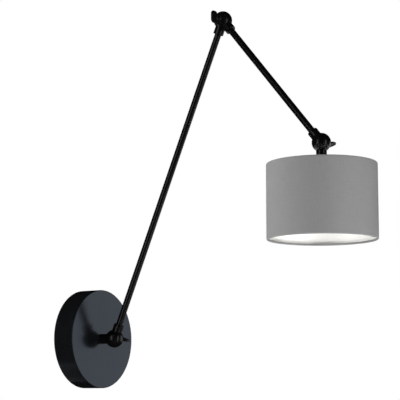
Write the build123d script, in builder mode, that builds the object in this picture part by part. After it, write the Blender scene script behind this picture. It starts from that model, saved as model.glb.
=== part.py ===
"""Articulating wall lamp: round canopy, two arms on three ball knuckles, and a small drum shade.

Millimetres. The wall is the plane y = 0, the lamp stands out towards -Y and +Z is up. The origin is the
centre of the wall bracket's back face. Both arms lie in the plane x = 0, and every knuckle turns about X.
"""

from build123d import *
import math
import os

# ---- canopy and wall bracket ----
canopy_dia = 153.0
canopy_depth = 35.0
canopy_wall = 1.2
canopy_edge_radius = 1.0
bracket_thickness = 1.5
bracket_width = 24.0
bracket_inset = 5.0  # from the canopy's outside to each ear's outside
bracket_bend_radius = 1.2
ear_width = 16.0
ear_depth = 12.0
wall_slot_spacing = 84.0
wall_slot_length = 14.0
wall_slot_width = 5.0
cable_hole_dia = 20.0
cover_screw_dia = 4.0
cover_screw_length = 6.0
cover_screw_height = 7.0  # from the wall to the screws' axis
cover_screw_sink = 0.3
cover_nut_dia = 8.0
cover_nut_height = 3.0

# ---- threaded nipple through the canopy's face ----
pipe_dia = 10.0  # outside of the M10x1 thread and of both arm tubes
pipe_bore = 8.0
nipple_stand_in = 9.0  # how far the nipple reaches behind the canopy's face
nipple_hole_clearance = 0.2
nipple_washer_dia = 18.0
nipple_washer_thickness = 1.0
nipple_nut_flats = 14.0
nipple_nut_thickness = 4.0

# ---- terminals ----
block_width = 28.0
block_height = 17.0
block_depth = 13.0
block_bottom = 14.0  # above the bracket's centre
block_edge = 1.0
block_well_depth = 6.5  # screw wells, from the block's front
pole_groove_depth = 2.2
pole_pitch = 9.0
pole_count = 3
pole_rib_gap = 1.2
insert_dia = 4.6
insert_bore = 2.8
insert_length = 13.0
terminal_screw_dia = 3.0
terminal_screw_length = 3.2
terminal_screw_spacing = 8.0
screw_slot_width = 0.7
screw_slot_depth = 0.6
block_screw_dia = 2.6
block_screw_head_dia = 3.6
block_screw_head_height = 1.4
block_screw_well_depth = 5.7  # from the block's front to the underside of the head
earth_screw_drop = 26.0
earth_screw_dia = 4.0
earth_screw_head_dia = 7.5
earth_screw_head_height = 2.5
earth_screw_head_round = 0.8
earth_washer_dia = 10.0
earth_washer_thickness = 0.8
lead_dia = 2.2
lead_offset = 1.6
lead_bend = 4.0
lead_entry = 3.2  # how far a core reaches above the block's bottom

# ---- ball knuckles ----
ball_dia = 28.0
ball_cavity_dia = 21.0
seam_gap = 0.3  # between the two halves' rims
ball_clearance = 0.3  # between a half's ball and the other half's collar
collar_dia = 15.5
collar_reach = 23.0  # from the ball's centre to the collar's end
collar_chamfer = 0.5
collar_flank_angle = 30.0  # each side of a collar, so two collars fold to twice this
socket_depth = 7.2
socket_clearance = 0.05
boss_dia = 10.0
screw_dia = 5.0
screw_clearance = 0.05
tapped_depth = 10.7  # from the ball's centre plane into the smooth half
screw_end_gap = 0.4
knob_flat = 12.5  # from the centre plane to the flat on the knob's side
friction_washer_dia = 9.6
friction_washer_thickness = 0.8
washer_bore = 5.6
spring_washer_dia = 10.0
spring_washer_thickness = 1.0

# ---- thumb screws ----
shoulder_dia = 9.0
shoulder_tip_dia = 2.2  # thinner than the paddle, so the taper ends inside it
shoulder_length = 9.0
paddle_start = 16.5  # from the ball's centre plane
paddle_end = 32.0
paddle_width = 19.0
paddle_thickness = 3.2
paddle_corner = 5.6
paddle_edge = 1.2
base_paddle_roll = -20.0  # degrees from level, seen from the knob's end
elbow_paddle_roll = 90.0
head_paddle_roll = 16.0

# ---- arms ----
arm_1_length = 520.0  # base pivot to elbow pivot
arm_2_length = 266.0  # elbow pivot to head pivot
arm_1_lean = 22.9  # degrees outwards from straight up
arm_2_lean = 39.1  # degrees outwards from straight down
tube_end_gap = 0.3
tube_chamfer = 0.4
flex_dia = 6.4

# ---- lamp holder, drops measured below the head pivot ----
holder_nipple_grip = 8.0
cap_neck_dia = 15.0
cap_neck_length = 5.0
cap_dia = 27.0
cap_wall = 1.5
cap_end_drop = 45.0
cap_shoulder_radius = 4.0
flange_dia = 33.0
flange_thickness = 1.6
skirt_dia = 28.0
skirt_wall = 1.6
skirt_end_drop = 80.0
insulator_clearance = 0.2
insulator_end_drop = 78.0
well_dia = 15.2
well_floor_drop = 54.0
contact_dia = 5.0
contact_height = 2.4
shell_bore = 13.9
shell_wall = 0.5
shell_start_drop = 57.0
shell_end_drop = 76.5
holder_screw_dia = 3.0
holder_screw_length = 5.0
holder_screw_offset = 8.5

# ---- shade ----
shade_dia = 160.0
shade_height = 110.0
shade_top_drop = 31.0
fabric_thickness = 0.55
lining_gap = 0.05
lining_thickness = 0.4
hem_radius = 1.7
hem_height = 3.0
ring_wire_dia = 1.2
spoke_dia = 3.0
spoke_count = 3
spoke_slit_clearance = 0.3
spoke_slit_length = 6.5  # inwards, through the fabric's turned-in lip
carrier_ring_dia = 42.0
carrier_ring_thickness = 1.6
carrier_bore_clearance = 0.3
ring_nut_dia = 37.0
ring_nut_rim = 2.0
ring_nut_height = 7.0
ring_nut_ribs = 24
ring_nut_rib_dia = 1.4
ring_nut_wall = 2.8
thread_clearance = 0.05

# ---- worked-out places ----
canopy_radius = canopy_dia / 2
pipe_radius = pipe_dia / 2
bracket_length = canopy_dia - 2 * bracket_inset
ball_radius = ball_dia / 2
collar_radius = collar_dia / 2
shade_radius = shade_dia / 2
socket_floor = collar_reach - socket_depth
tube_end = socket_floor + tube_end_gap
boss_face = friction_washer_thickness / 2
shoulder_face = knob_flat + spring_washer_thickness
block_middle = block_bottom + block_height / 2
insert_axis_y = -(bracket_thickness + block_depth / 2)
flange_drop = cap_end_drop
carrier_drop = flange_drop + flange_thickness
carrier_middle_drop = carrier_drop + carrier_ring_thickness / 2
ring_radius = shade_radius - hem_radius
lining_radius = shade_radius - fabric_thickness - lining_gap


def arm_direction(degrees):
    """Unit vector in the arms' plane, so many degrees outwards from straight up."""
    angle = math.radians(degrees)
    return Vector(0, -math.sin(angle), math.cos(angle))


to_wall = Vector(0, 1, 0)
down = Vector(0, 0, -1)
arm_1_dir = arm_direction(arm_1_lean)
arm_2_dir = arm_direction(180 - arm_2_lean)
base_pivot = Vector(0, -(canopy_depth + collar_reach), 0)
elbow_pivot = base_pivot + arm_1_dir * arm_1_length
head_pivot = elbow_pivot + arm_2_dir * arm_2_length
head_axis = Axis(head_pivot, (0, 0, 1))
head_section = Plane(origin=head_pivot, x_dir=(1, 0, 0), z_dir=(0, -1, 0))
canopy_face = Plane(origin=(0, -canopy_depth, 0), x_dir=(1, 0, 0), z_dir=(0, -1, 0))
bracket_face = Plane(origin=(0, -bracket_thickness, 0), x_dir=(1, 0, 0), z_dir=(0, -1, 0))
spoke_start = head_pivot + down * (shade_top_drop + hem_radius)


def head_level(drop):
    """Horizontal plane so far below the head pivot, facing up."""
    return Plane(origin=head_pivot + down * drop)


def corner(sketch, x, y):
    """The corner of a sketch nearest to a point of its own plane."""
    return sketch.vertices().sort_by_distance((x, y, 0))[0]


def write(piece, name):
    """Label a finished piece and save it."""
    piece.label = name
    export_step(piece, f"parts/{name}.step")


# ---------------------------------------------------------------- canopy


def make_canopy_cover():
    """Pressed cup, open at the wall, with a hole for the nipple and one for each side screw."""
    with BuildPart() as cover:
        with BuildSketch(Plane.XY) as section:
            with BuildLine():
                Polyline(
                    (0, -canopy_depth),
                    (canopy_radius, -canopy_depth),
                    (canopy_radius, 0),
                    (canopy_radius - canopy_wall, 0),
                    (canopy_radius - canopy_wall, canopy_wall - canopy_depth),
                    (0, canopy_wall - canopy_depth),
                    close=True,
                )
            make_face()
            fillet(corner(section, canopy_radius, -canopy_depth), canopy_edge_radius)
        revolve(axis=Axis.Y)
        with Locations(canopy_face):
            Hole(pipe_radius + nipple_hole_clearance, depth=2 * canopy_wall)
        with Locations((0, -cover_screw_height, 0)):
            Cylinder(cover_screw_dia / 2 + nipple_hole_clearance, canopy_dia + canopy_wall, mode=Mode.SUBTRACT)
    return cover.part


def make_wall_bracket():
    """Steel strip on the wall, with slots, a cable hole and an ear bent up at each end."""
    with BuildPart() as bracket:
        with BuildSketch(Plane.XZ):
            RectangleRounded(bracket_width, bracket_length, bracket_bend_radius)
        extrude(amount=bracket_thickness)
        for end in (-1, 1):
            ear_middle = end * (bracket_length - bracket_thickness) / 2
            with Locations((0, 0, ear_middle)):
                Box(ear_width, ear_depth, bracket_thickness, align=(Align.CENTER, Align.MAX, Align.CENTER))
        with BuildSketch(bracket_face):
            Circle(cable_hole_dia / 2)
            with GridLocations(0, wall_slot_spacing, 1, 2):
                SlotOverall(wall_slot_length, wall_slot_width, rotation=90)
            with Locations((0, -earth_screw_drop)):
                Circle(earth_screw_dia / 2 + socket_clearance)
            with Locations((pole_pitch / 2, block_middle)):
                Circle(block_screw_dia / 2 + socket_clearance)
        extrude(amount=-2 * bracket_thickness, mode=Mode.SUBTRACT)
        with Locations((0, -cover_screw_height, 0)):
            Cylinder(cover_screw_dia / 2 + nipple_hole_clearance, 2 * bracket_length, mode=Mode.SUBTRACT)
    return bracket.part


def make_cover_nuts():
    """Two round clinch nuts behind the canopy's side wall, top and bottom."""
    inner_radius = canopy_radius - canopy_wall
    seat = math.sqrt(inner_radius**2 - (cover_nut_dia / 2) ** 2)
    with BuildPart() as nuts:
        for end in (-1, 1):
            with BuildSketch(Plane((0, -cover_screw_height, end * seat), z_dir=(0, 0, -end))):
                Circle(cover_nut_dia / 2)
                Circle(cover_screw_dia / 2 + socket_clearance, mode=Mode.SUBTRACT)
            extrude(amount=cover_nut_height)
    return nuts.part


def make_cover_grub_screws():
    """Two slotted grub screws that run through the clinch nuts into the bracket's ears."""
    top = canopy_radius - cover_screw_sink
    with BuildPart() as screws:
        for end in (-1, 1):
            with BuildSketch(Plane((0, -cover_screw_height, end * top), z_dir=(0, 0, -end))):
                Circle(cover_screw_dia / 2)
            extrude(amount=cover_screw_length)
            with Locations((0, -cover_screw_height, end * top)):
                Box(cover_screw_dia, screw_slot_width, 2 * screw_slot_depth, mode=Mode.SUBTRACT)
    return screws.part


def make_canopy_nipple():
    """Hollow threaded pipe from the base knuckle's collar through the canopy's face."""
    start = canopy_depth + socket_depth - tube_end_gap
    end = canopy_depth - nipple_stand_in
    return make_pipe(Vector(0, -start, 0), Vector(0, -end, 0))


def make_pipe(start, end):
    """Straight hollow pipe with chamfered ends, between two points of its axis."""
    axis_plane = Plane(origin=start, x_dir=(1, 0, 0), z_dir=end - start)
    with BuildPart() as pipe:
        with BuildSketch(axis_plane):
            Circle(pipe_radius)
            Circle(pipe_bore / 2, mode=Mode.SUBTRACT)
        extrude(amount=(end - start).length)
        outer_edges = pipe.edges().filter_by(GeomType.CIRCLE).group_by(SortBy.RADIUS)[-1]
        chamfer(outer_edges, tube_chamfer)
    return pipe.part


def make_nipple_washer():
    """Flat washer against the inside of the canopy's face."""
    with BuildPart() as washer:
        with BuildSketch(canopy_face.offset(-canopy_wall)):
            Circle(nipple_washer_dia / 2)
            Circle(pipe_radius + nipple_hole_clearance, mode=Mode.SUBTRACT)
        extrude(amount=-nipple_washer_thickness)
    return washer.part


def make_nipple_nut():
    """Hexagon nut that clamps the base knuckle to the canopy."""
    with BuildPart() as nut:
        with BuildSketch(canopy_face.offset(-canopy_wall - nipple_washer_thickness)):
            RegularPolygon(nipple_nut_flats / 2, 6, major_radius=False)
            Circle(pipe_radius + thread_clearance, mode=Mode.SUBTRACT)
        extrude(amount=-nipple_nut_thickness)
    return nut.part


# ---------------------------------------------------------------- terminals


def pole_places():
    """Middle of each pole along X."""
    first = -pole_pitch * (pole_count - 1) / 2
    return [first + pole_pitch * i for i in range(pole_count)]


def make_terminal_block():
    """Moulded block on the bracket: a bore for each pole, screw wells, and grooves between the poles."""
    with BuildPart() as block:
        with BuildSketch(bracket_face):
            with Locations((0, block_middle)):
                RectangleRounded(block_width, block_height, block_edge)
        extrude(amount=block_depth)
        with Locations([(x, insert_axis_y, block_middle) for x in pole_places()]):
            Cylinder(insert_dia / 2 + socket_clearance, block_height + 1, mode=Mode.SUBTRACT)
        front = bracket_face.offset(block_depth)
        with BuildSketch(front):
            for x in pole_places():
                with Locations((x, block_middle)):
                    with GridLocations(0, terminal_screw_spacing, 1, 2):
                        Circle(terminal_screw_dia / 2 + nipple_hole_clearance)
        extrude(amount=-block_well_depth, mode=Mode.SUBTRACT)
        with BuildSketch(front):
            with Locations((-pole_pitch / 2, block_middle), (pole_pitch / 2, block_middle)):
                Rectangle(pole_rib_gap, block_height)
        extrude(amount=-pole_groove_depth, mode=Mode.SUBTRACT)
        with Locations(front):
            with Locations((pole_pitch / 2, block_middle)):
                CounterBoreHole(
                    block_screw_dia / 2 + socket_clearance,
                    block_screw_head_dia / 2 + nipple_hole_clearance,
                    block_screw_well_depth,
                )
    return block.part


def make_terminal_inserts():
    """Brass tubes, one for each pole, drilled for the wires and tapped for two screws."""
    tap_length = insert_dia
    with BuildPart() as inserts:
        with Locations([(x, insert_axis_y, block_middle) for x in pole_places()]):
            Cylinder(insert_dia / 2, insert_length)
            Cylinder(insert_bore / 2, insert_length, mode=Mode.SUBTRACT)
        with BuildSketch(Plane(origin=(0, insert_axis_y, 0), x_dir=(1, 0, 0), z_dir=(0, -1, 0))):
            for x in pole_places():
                with Locations((x, block_middle)):
                    with GridLocations(0, terminal_screw_spacing, 1, 2):
                        Circle(terminal_screw_dia / 2 + socket_clearance)
        extrude(amount=tap_length, mode=Mode.SUBTRACT)
    return inserts.part


def make_terminal_screws():
    """Two slotted clamp screws on each pole."""
    screw_tip = Plane(
        origin=(0, insert_axis_y - insert_bore / 2, 0), x_dir=(1, 0, 0), z_dir=(0, -1, 0)
    )
    with BuildPart() as screws:
        with BuildSketch(screw_tip):
            for x in pole_places():
                with Locations((x, block_middle)):
                    with GridLocations(0, terminal_screw_spacing, 1, 2):
                        Circle(terminal_screw_dia / 2)
        extrude(amount=terminal_screw_length)
        with BuildSketch(screw_tip.offset(terminal_screw_length)):
            for x in pole_places():
                with Locations((x, block_middle)):
                    with GridLocations(0, terminal_screw_spacing, 1, 2):
                        Rectangle(terminal_screw_dia, screw_slot_width)
        extrude(amount=-screw_slot_depth, mode=Mode.SUBTRACT)
    return screws.part


def make_block_screw():
    """Screw that holds the terminal block on the bracket."""
    seat_height = block_depth - block_screw_well_depth
    seat = bracket_face.offset(seat_height)
    with BuildPart() as screw:
        with BuildSketch(seat):
            with Locations((pole_pitch / 2, block_middle)):
                Circle(block_screw_head_dia / 2)
        extrude(amount=block_screw_head_height)
        with BuildSketch(seat):
            with Locations((pole_pitch / 2, block_middle)):
                Circle(block_screw_dia / 2)
        extrude(amount=-(seat_height + bracket_thickness))
        with BuildSketch(seat.offset(block_screw_head_height)):
            with Locations((pole_pitch / 2, block_middle)):
                Rectangle(block_screw_head_dia, screw_slot_width)
        extrude(amount=-screw_slot_depth, mode=Mode.SUBTRACT)
    return screw.part


def make_earth_screw():
    """Earth screw in the bracket, below its centre."""
    seat = bracket_face.offset(earth_washer_thickness)
    with BuildPart() as screw:
        with BuildSketch(seat):
            with Locations((0, -earth_screw_drop)):
                Circle(earth_screw_head_dia / 2)
        extrude(amount=earth_screw_head_height)
        rim = screw.edges().filter_by(GeomType.CIRCLE).sort_by(Axis.Y)[0]
        fillet(rim, earth_screw_head_round)
        with BuildSketch(seat):
            with Locations((0, -earth_screw_drop)):
                Circle(earth_screw_dia / 2)
        extrude(amount=-(earth_washer_thickness + bracket_thickness))
        with BuildSketch(seat.offset(earth_screw_head_height)):
            with Locations((0, -earth_screw_drop)):
                Rectangle(earth_screw_head_dia, screw_slot_width)
        extrude(amount=-screw_slot_depth, mode=Mode.SUBTRACT)
    return screw.part


def make_earth_washer():
    """Cup washer under the earth screw's head."""
    with BuildPart() as washer:
        with BuildSketch(bracket_face):
            with Locations((0, -earth_screw_drop)):
                Circle(earth_washer_dia / 2)
                Circle(earth_screw_dia / 2 + socket_clearance, mode=Mode.SUBTRACT)
        extrude(amount=earth_washer_thickness)
    return washer.part


def make_canopy_leads():
    """Three insulated cores from the nipple: two into the terminal block, the third to the earth screw."""
    lead_start = -canopy_depth
    turn_in = insert_axis_y - 2 * lead_bend
    lead_lift = lead_offset / 2
    on_bracket = -(bracket_thickness + lead_dia / 2 + socket_clearance)
    washer_edge = -(earth_screw_drop - earth_washer_dia / 2 - socket_clearance)
    routes = []
    for side in (-1, 1):
        routes.append(
            [
                (side * lead_offset, lead_start, lead_lift),
                (side * lead_offset, turn_in, lead_lift),
                (side * pole_pitch, insert_axis_y, block_bottom / 2),
                (side * pole_pitch, insert_axis_y, block_bottom + lead_entry),
            ]
        )
    routes.append(
        [
            (0, lead_start, -lead_offset),
            (0, turn_in, -lead_offset),
            (0, on_bracket, washer_edge / 2),
            (0, on_bracket, washer_edge),
        ]
    )
    with BuildPart() as leads:
        for route in routes:
            with BuildLine() as path:
                FilletPolyline(*route, radius=lead_bend)
            with BuildSketch(Plane(origin=path.line @ 0, z_dir=path.line % 0)):
                Circle(lead_dia / 2)
            sweep(path=path.line)
    return leads.part


# ---------------------------------------------------------------- knuckles


def half_ball_outline(has_knob):
    """Section of one half: outer ball, cavity, pivot boss and screw hole, for turning about the pivot.

    x runs along the pivot from the ball's centre plane outwards, and y is the distance from the pivot.
    """
    rim = seam_gap / 2
    cavity_radius = ball_cavity_dia / 2
    hole_radius = screw_dia / 2 + screw_clearance
    boss_radius = boss_dia / 2
    flat = knob_flat if has_knob else ball_radius
    flat_radius = math.sqrt(ball_radius**2 - flat**2)
    hole_end = flat if has_knob else tapped_depth
    boss_root = math.sqrt(cavity_radius**2 - boss_radius**2)
    outer_rim = (rim, math.sqrt(ball_radius**2 - rim**2))
    cavity_rim = (rim, math.sqrt(cavity_radius**2 - rim**2))
    with BuildLine() as outline:
        RadiusArc((flat, flat_radius), outer_rim, -ball_radius)
        Line(outer_rim, cavity_rim)
        RadiusArc(cavity_rim, (boss_root, boss_radius), cavity_radius)
        Polyline((boss_root, boss_radius), (boss_face, boss_radius), (boss_face, hole_radius))
        Line((boss_face, hole_radius), (hole_end, hole_radius))
        if has_knob:
            Line((hole_end, hole_radius), (flat, flat_radius))
        else:
            Polyline((hole_end, hole_radius), (hole_end, 0), (flat, 0))
    return outline.line


def make_knuckle_half(pivot, side, direction, has_knob):
    """One cast half: half a hollow ball with a pivot boss, and a whole collar that takes a tube.

    side is +1 for the half on the +X side. The half with the knob has a flat and a through hole, and the
    other half is smooth outside and tapped inside.
    """
    frame = Plane(origin=pivot, x_dir=(side, 0, 0), z_dir=direction)
    flank = Plane(origin=pivot, x_dir=frame.y_dir, z_dir=frame.x_dir)
    section = Plane(origin=pivot, x_dir=(side, 0, 0), z_dir=-frame.y_dir)
    pivot_axis = Axis(pivot, (side, 0, 0))
    flank_start = collar_radius / math.tan(math.radians(collar_flank_angle))
    shell_middle = (ball_radius + ball_cavity_dia / 2) / 2
    passage_start = boss_dia / 2 + ball_clearance
    centred = (Align.CENTER, Align.CENTER, Align.MIN)
    with BuildPart(frame) as half:
        Cylinder(collar_radius, collar_reach, align=centred)
        chamfer(half.edges().sort_by_distance(pivot + direction * collar_reach)[0], collar_chamfer)
        with BuildSketch(flank):
            with BuildLine():
                Polyline(
                    (0, 0),
                    (collar_radius, flank_start),
                    (collar_radius, collar_reach),
                    (-collar_radius, collar_reach),
                    (-collar_radius, flank_start),
                    close=True,
                )
            make_face()
        extrude(amount=collar_radius, both=True, mode=Mode.INTERSECT)
        with BuildSketch(section):
            Circle(ball_radius + ball_clearance)
            with Locations((seam_gap / 2, 0)):
                Rectangle(ball_dia, 2 * ball_dia, align=(Align.MIN, Align.CENTER), mode=Mode.SUBTRACT)
            Circle(shell_middle)
            Rectangle(2 * ball_dia, ball_dia, align=(Align.CENTER, Align.MAX), mode=Mode.SUBTRACT)
        revolve(axis=pivot_axis, mode=Mode.SUBTRACT)
        with BuildSketch(section):
            with BuildLine():
                add(half_ball_outline(has_knob))
            make_face()
        revolve(axis=pivot_axis)
        with Locations((0, 0, passage_start)):
            Cylinder(pipe_bore / 2, socket_floor - passage_start, align=centred, mode=Mode.SUBTRACT)
        with Locations((0, 0, socket_floor)):
            Cylinder(pipe_radius + socket_clearance, socket_depth, align=centred, mode=Mode.SUBTRACT)
    return half.part


def make_ring(pivot, side, start, outer_dia, thickness):
    """Washer on a knuckle's pivot, from a distance off the ball's centre plane outwards."""
    with BuildPart() as ring:
        with BuildSketch(Plane(origin=pivot, z_dir=(side, 0, 0)).offset(start)):
            Circle(outer_dia / 2)
            Circle(washer_bore / 2, mode=Mode.SUBTRACT)
        extrude(amount=thickness)
    return ring.part


def make_thumb_screw(pivot, side, roll):
    """Thumb screw: plain shank, round shoulder and a flat paddle with soft edges."""
    outward = Vector(side, 0, 0)
    angle = math.radians(roll)
    across = Vector(0, -math.cos(angle), math.sin(angle))
    blade_plane = Plane(origin=pivot, x_dir=across, z_dir=across.cross(outward))
    axis_plane = Plane(origin=pivot, x_dir=across, z_dir=outward)
    centred = (Align.CENTER, Align.CENTER, Align.MIN)
    shank_end = tapped_depth - screw_end_gap
    with BuildPart() as screw:
        with BuildSketch(blade_plane):
            with Locations((0, (paddle_start + paddle_end) / 2)):
                RectangleRounded(paddle_width, paddle_end - paddle_start, paddle_corner)
        extrude(amount=paddle_thickness / 2, both=True)
        outlines = screw.faces().filter_by(Axis(pivot, blade_plane.z_dir)).edges()
        fillet(outlines, paddle_edge)
        with Locations(axis_plane.offset(shoulder_face)):
            Cone(shoulder_dia / 2, shoulder_tip_dia / 2, shoulder_length, align=centred)
        with Locations(axis_plane.offset(-shank_end)):
            Cylinder(screw_dia / 2, shank_end + shoulder_face, align=centred)
    return screw.part


# ---------------------------------------------------------------- arms


def make_arm_tube(start, end):
    """Arm tube between two pivots, seated in the collars at both ends."""
    along = (end - start).normalized()
    return make_pipe(start + along * tube_end, end - along * tube_end)


def make_arm_flex(start, end):
    """Straight stretch of sheathed flex inside an arm tube."""
    along = (end - start).normalized()
    length = (end - start).length - 2 * tube_end
    with BuildPart() as flex:
        with BuildSketch(Plane(origin=start + along * tube_end, x_dir=(1, 0, 0), z_dir=along)):
            Circle(flex_dia / 2)
        extrude(amount=length)
    return flex.part


# ---------------------------------------------------------------- lamp holder


def make_holder_nipple():
    """Hollow threaded pipe between the head knuckle's collar and the lamp holder's cap."""
    return make_pipe(
        head_pivot + down * (socket_floor + tube_end_gap),
        head_pivot + down * (collar_reach + holder_nipple_grip),
    )


def make_holder_cap():
    """Turned cap: a neck on the nipple and a hollow cup below it."""
    neck_end = collar_reach + cap_neck_length
    thread_end = collar_reach + holder_nipple_grip
    with BuildPart() as cap:
        with BuildSketch(head_section) as section:
            with BuildLine():
                Polyline(
                    (pipe_radius + thread_clearance, -collar_reach),
                    (cap_neck_dia / 2, -collar_reach),
                    (cap_neck_dia / 2, -neck_end),
                    (cap_dia / 2, -neck_end),
                    (cap_dia / 2, -cap_end_drop),
                    (cap_dia / 2 - cap_wall, -cap_end_drop),
                    (cap_dia / 2 - cap_wall, -thread_end),
                    (pipe_radius + thread_clearance, -thread_end),
                    close=True,
                )
            make_face()
            fillet(corner(section, cap_dia / 2, -neck_end), cap_shoulder_radius)
        revolve(axis=head_axis)
    return cap.part


def make_holder_skirt():
    """Threaded skirt of the lamp holder, with the flange that the shade carrier hangs below."""
    with BuildPart() as skirt:
        with BuildSketch(head_section):
            with BuildLine():
                Polyline(
                    (skirt_dia / 2 - skirt_wall, -flange_drop),
                    (flange_dia / 2, -flange_drop),
                    (flange_dia / 2, -carrier_drop),
                    (skirt_dia / 2, -carrier_drop),
                    (skirt_dia / 2, -skirt_end_drop),
                    (skirt_dia / 2 - skirt_wall, -skirt_end_drop),
                    close=True,
                )
            make_face()
        revolve(axis=head_axis)
    return skirt.part


def make_holder_insulator():
    """Insulating body inside the skirt, with the well for the screw shell and two screw holes."""
    radius = skirt_dia / 2 - skirt_wall - insulator_clearance
    with BuildPart() as insulator:
        with BuildSketch(head_level(insulator_end_drop)):
            Circle(radius)
        extrude(amount=insulator_end_drop - flange_drop)
        with BuildSketch(head_level(insulator_end_drop)):
            Circle(well_dia / 2)
        extrude(amount=insulator_end_drop - well_floor_drop, mode=Mode.SUBTRACT)
        with BuildSketch(head_level(flange_drop)):
            with Locations((holder_screw_offset, 0), (-holder_screw_offset, 0)):
                Circle(holder_screw_dia / 2 + socket_clearance)
        extrude(amount=-holder_screw_length, mode=Mode.SUBTRACT)
    return insulator.part


def make_holder_screws():
    """Two slotted terminal screws in the top of the insulator, under the cap."""
    with BuildPart() as screws:
        with BuildSketch(head_level(flange_drop)):
            with Locations((holder_screw_offset, 0), (-holder_screw_offset, 0)):
                Circle(holder_screw_dia / 2)
        extrude(amount=-holder_screw_length)
        with BuildSketch(head_level(flange_drop)):
            with Locations((holder_screw_offset, 0), (-holder_screw_offset, 0)):
                Rectangle(holder_screw_dia, screw_slot_width)
        extrude(amount=-screw_slot_depth, mode=Mode.SUBTRACT)
    return screws.part


def make_screw_shell():
    """Metal screw shell that takes the lamp's cap."""
    with BuildPart() as shell:
        with BuildSketch(head_level(shell_end_drop)):
            Circle(shell_bore / 2 + shell_wall)
            Circle(shell_bore / 2, mode=Mode.SUBTRACT)
        extrude(amount=shell_end_drop - shell_start_drop)
    return shell.part


def make_centre_contact():
    """Centre contact on the floor of the well."""
    with BuildPart() as contact:
        with BuildSketch(head_level(well_floor_drop)):
            Circle(contact_dia / 2)
        extrude(amount=-contact_height)
        fillet(contact.edges().sort_by(Axis.Z)[0], contact_height / 2)
    return contact.part


# ---------------------------------------------------------------- shade


def spoke_lines():
    """Start and end of each spoke's axis, from the top ring to the carrier's middle ring."""
    lines = []
    for i in range(spoke_count):
        angle = math.radians(90 + 360 * i / spoke_count)
        radial = Vector(math.cos(angle), math.sin(angle), 0)
        outer = spoke_start + radial * ring_radius
        inner_radius = (carrier_ring_dia - spoke_dia) / 2
        inner = head_pivot + down * carrier_middle_drop + radial * inner_radius
        lines.append((outer, inner))
    return lines


def make_shade_fabric():
    """Fabric drum whose two edges are turned in over the wire rings, with a slit for each spoke."""
    lip_radius = ring_radius - hem_radius
    with BuildPart() as fabric:
        with BuildSketch(head_section):
            for edge_drop, away in ((shade_top_drop, 1), (shade_top_drop + shade_height, -1)):
                ring_z = -edge_drop - away * hem_radius
                lip_z = -edge_drop - away * hem_height
                with Locations((ring_radius, ring_z)):
                    Circle(hem_radius)
                    Circle(hem_radius - fabric_thickness, mode=Mode.SUBTRACT)
                inside = (Align.CENTER, Align.MAX if away > 0 else Align.MIN)
                with Locations((ring_radius, ring_z)):
                    Rectangle(2 * hem_radius, hem_radius, align=inside, mode=Mode.SUBTRACT)
                with Locations((lip_radius + fabric_thickness / 2, (ring_z + lip_z) / 2)):
                    Rectangle(fabric_thickness, abs(lip_z - ring_z))
            with Locations((shade_radius - fabric_thickness / 2, -shade_top_drop - shade_height / 2)):
                Rectangle(fabric_thickness, shade_height - 2 * hem_radius)
        revolve(axis=head_axis)
        for outer, inner in spoke_lines():
            inwards = (inner - outer).normalized()
            slit = Plane(origin=outer - inwards * spoke_slit_clearance, z_dir=inwards)
            with BuildSketch(slit):
                Circle(spoke_dia / 2 + spoke_slit_clearance)
            extrude(amount=spoke_slit_length, mode=Mode.SUBTRACT)
    return fabric.part


def make_shade_lining():
    """White sheet bonded inside the fabric, between the two hems."""
    with BuildPart() as lining:
        with BuildSketch(head_level(shade_top_drop + shade_height - hem_height)):
            Circle(lining_radius)
            Circle(lining_radius - lining_thickness, mode=Mode.SUBTRACT)
        extrude(amount=shade_height - 2 * hem_height)
    return lining.part


def make_shade_carrier():
    """Top wire ring, three spokes and the flat middle ring that sits on the lamp holder."""
    with BuildPart() as carrier:
        with Locations(Plane(spoke_start)):
            Torus(ring_radius, ring_wire_dia / 2)
        with BuildSketch(head_level(carrier_drop)):
            Circle(carrier_ring_dia / 2)
        extrude(amount=-carrier_ring_thickness)
        for outer, inner in spoke_lines():
            with BuildSketch(Plane(origin=outer, z_dir=inner - outer)):
                Circle(spoke_dia / 2)
            extrude(amount=(inner - outer).length)
        with BuildSketch(head_level(flange_drop)):
            Circle(skirt_dia / 2 + carrier_bore_clearance)
        extrude(amount=-4 * carrier_ring_thickness, mode=Mode.SUBTRACT)
    return carrier.part


def make_shade_bottom_ring():
    """Bottom wire ring inside the fabric's hem."""
    with BuildPart() as ring:
        with Locations(head_level(shade_top_drop + shade_height - hem_radius)):
            Torus(ring_radius, ring_wire_dia / 2)
    return ring.part


def make_ring_nut():
    """Ribbed ring nut on the lamp holder's thread, clamping the shade carrier to the flange."""
    start = carrier_drop + carrier_ring_thickness
    bore = skirt_dia / 2 + thread_clearance
    with BuildPart() as nut:
        with BuildSketch(head_level(start)):
            Circle(ring_nut_dia / 2)
            Circle(bore, mode=Mode.SUBTRACT)
        extrude(amount=-ring_nut_rim)
        with BuildSketch(head_level(start + ring_nut_rim)):
            Circle(bore + ring_nut_wall)
            with PolarLocations(bore + ring_nut_wall, ring_nut_ribs):
                Circle(ring_nut_rib_dia / 2)
            Circle(bore, mode=Mode.SUBTRACT)
        extrude(amount=-(ring_nut_height - ring_nut_rim))
    return nut.part


# ---------------------------------------------------------------- the whole lamp

os.makedirs("parts", exist_ok=True)

write(make_canopy_cover(), "canopy_cover")
write(make_wall_bracket(), "wall_bracket")
write(make_cover_nuts(), "cover_nuts")
write(make_cover_grub_screws(), "cover_grub_screws")
write(make_canopy_nipple(), "canopy_nipple")
write(make_nipple_washer(), "nipple_washer")
write(make_nipple_nut(), "nipple_nut")
write(make_terminal_block(), "terminal_block")
write(make_terminal_inserts(), "terminal_inserts")
write(make_terminal_screws(), "terminal_screws")
write(make_block_screw(), "block_screw")
write(make_earth_screw(), "earth_screw")
write(make_earth_washer(), "earth_washer")
write(make_canopy_leads(), "canopy_leads")

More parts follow.
